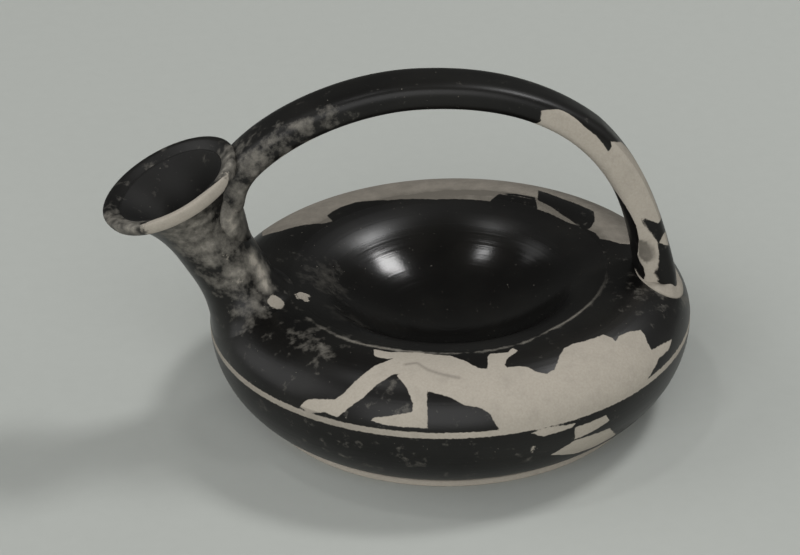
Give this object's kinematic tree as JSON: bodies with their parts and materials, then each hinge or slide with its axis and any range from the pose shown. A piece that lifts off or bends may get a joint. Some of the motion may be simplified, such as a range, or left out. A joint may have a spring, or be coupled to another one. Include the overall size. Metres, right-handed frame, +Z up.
{
  "type": "spouted vessel",
  "caption": "Low round ceramic pouring vessel with a sunk centre, a leaning trumpet spout and a strap handle arching over the top",
  "frame": {"origin": "centre of the flat foot's underside", "axes": "+Z up, the spout leans toward -X, the handle runs over the top and comes down on the shoulder at +X, 8 mm to the -Y side"},
  "size_m": [0.1106, 0.092, 0.0685],
  "materials": {
    "black_gloss": "black clay slip fired to a gloss, worn dull and chipped",
    "fired_clay": "matte fired clay, bare where the slip was left off or has flaked"
  },
  "bodies": {
    "root": {"foot_disc": "fired_clay", "lower_bowl": "black_gloss", "shoulder_ring": "black_gloss", "sunk_centre": "black_gloss", "spout_neck": "black_gloss", "mouth_lip": "black_gloss", "spout_collar": "black_gloss", "handle_strap": "black_gloss", "handle_front_tongue": "black_gloss", "handle_rear_pad": "fired_clay"}
  },
  "joints": []
}
